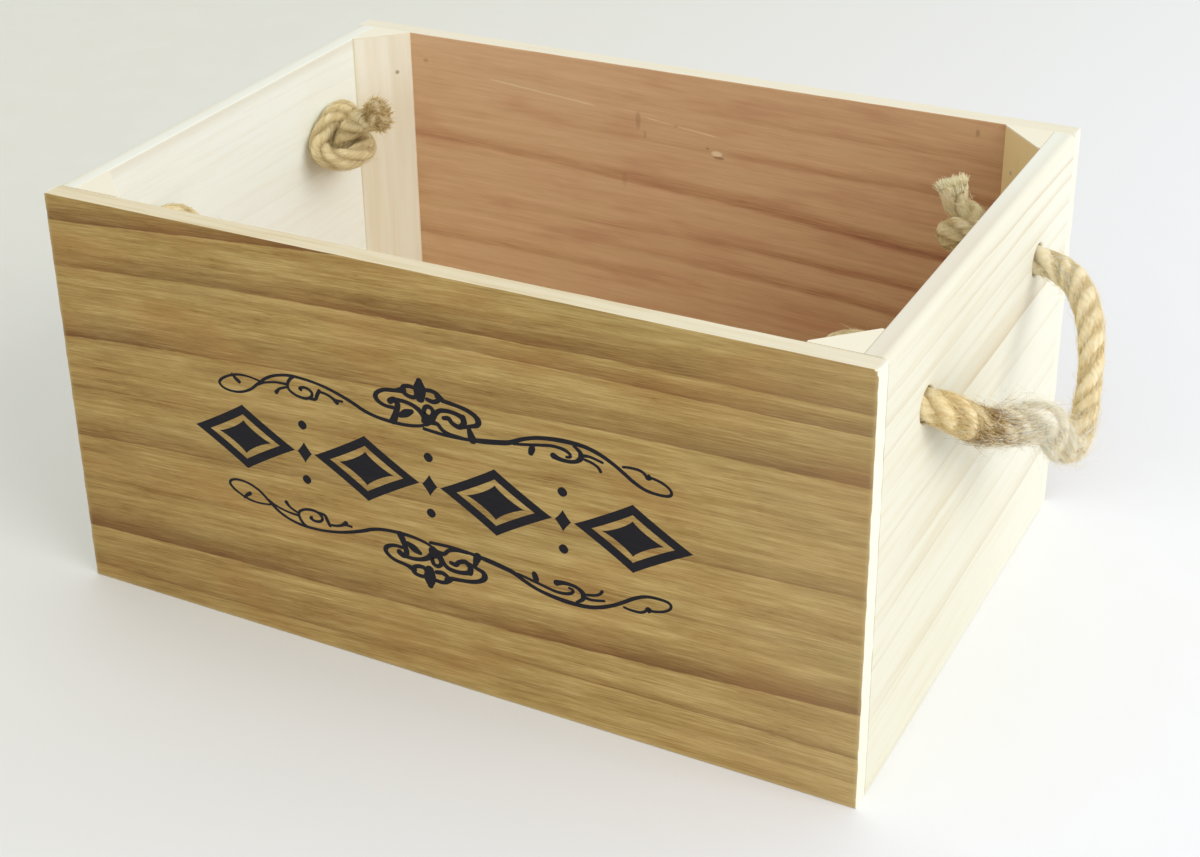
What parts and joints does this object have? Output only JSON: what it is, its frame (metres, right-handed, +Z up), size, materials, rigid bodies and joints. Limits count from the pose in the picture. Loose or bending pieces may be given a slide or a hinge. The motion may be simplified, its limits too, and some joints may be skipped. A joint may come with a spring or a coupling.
{
  "type": "storage box",
  "caption": "Open wooden storage crate with flat board walls, three-cornered corner blocks, a raised base and a knotted rope handle at each end.",
  "frame": {"origin": "middle of the crate's footprint, on the surface that it stands on", "axes": "+X along the crate from its left end to its right end, -Y the printed front, +Z up"},
  "size_m": [0.4448, 0.24, 0.18],
  "materials": {
    "stained_wood": "golden brown stain over fine straight grain, matt, with pale bare edges",
    "pale_wood": "bare pale softwood, sanded, matt",
    "rope": "twisted natural fibre rope with loose hairs",
    "brad_steel": "dull wire nail"
  },
  "bodies": {
    "crate": {"front_panel": "stained_wood", "back_panel": "stained_wood", "left_end_panel": "pale_wood", "right_end_panel": "pale_wood", "base_board": "pale_wood", "corner_block_brads": "brad_steel", "base_brads": "brad_steel", "front_left_corner_block": "pale_wood", "front_right_corner_block": "pale_wood", "back_left_corner_block": "pale_wood", "back_right_corner_block": "pale_wood", "left_front_knot": "rope", "left_rear_knot": "rope", "right_front_knot": "rope", "right_rear_knot": "rope"},
    "left_handle": {"left_rope_handle": "rope"},
    "right_handle": {"right_rope_handle": "rope"}
  },
  "joints": [
    {"name": "left_handle_swing", "type": "hinge", "parent": "crate", "child": "left_handle", "pos_m": [-0.1813, 0, 0.1415], "axis": [0, 1, 0], "range_deg": [-35, 92]},
    {"name": "right_handle_swing", "type": "hinge", "parent": "crate", "child": "right_handle", "pos_m": [0.1813, 0, 0.1415], "axis": [0, -1, 0], "range_deg": [-35, 92]}
  ]
}
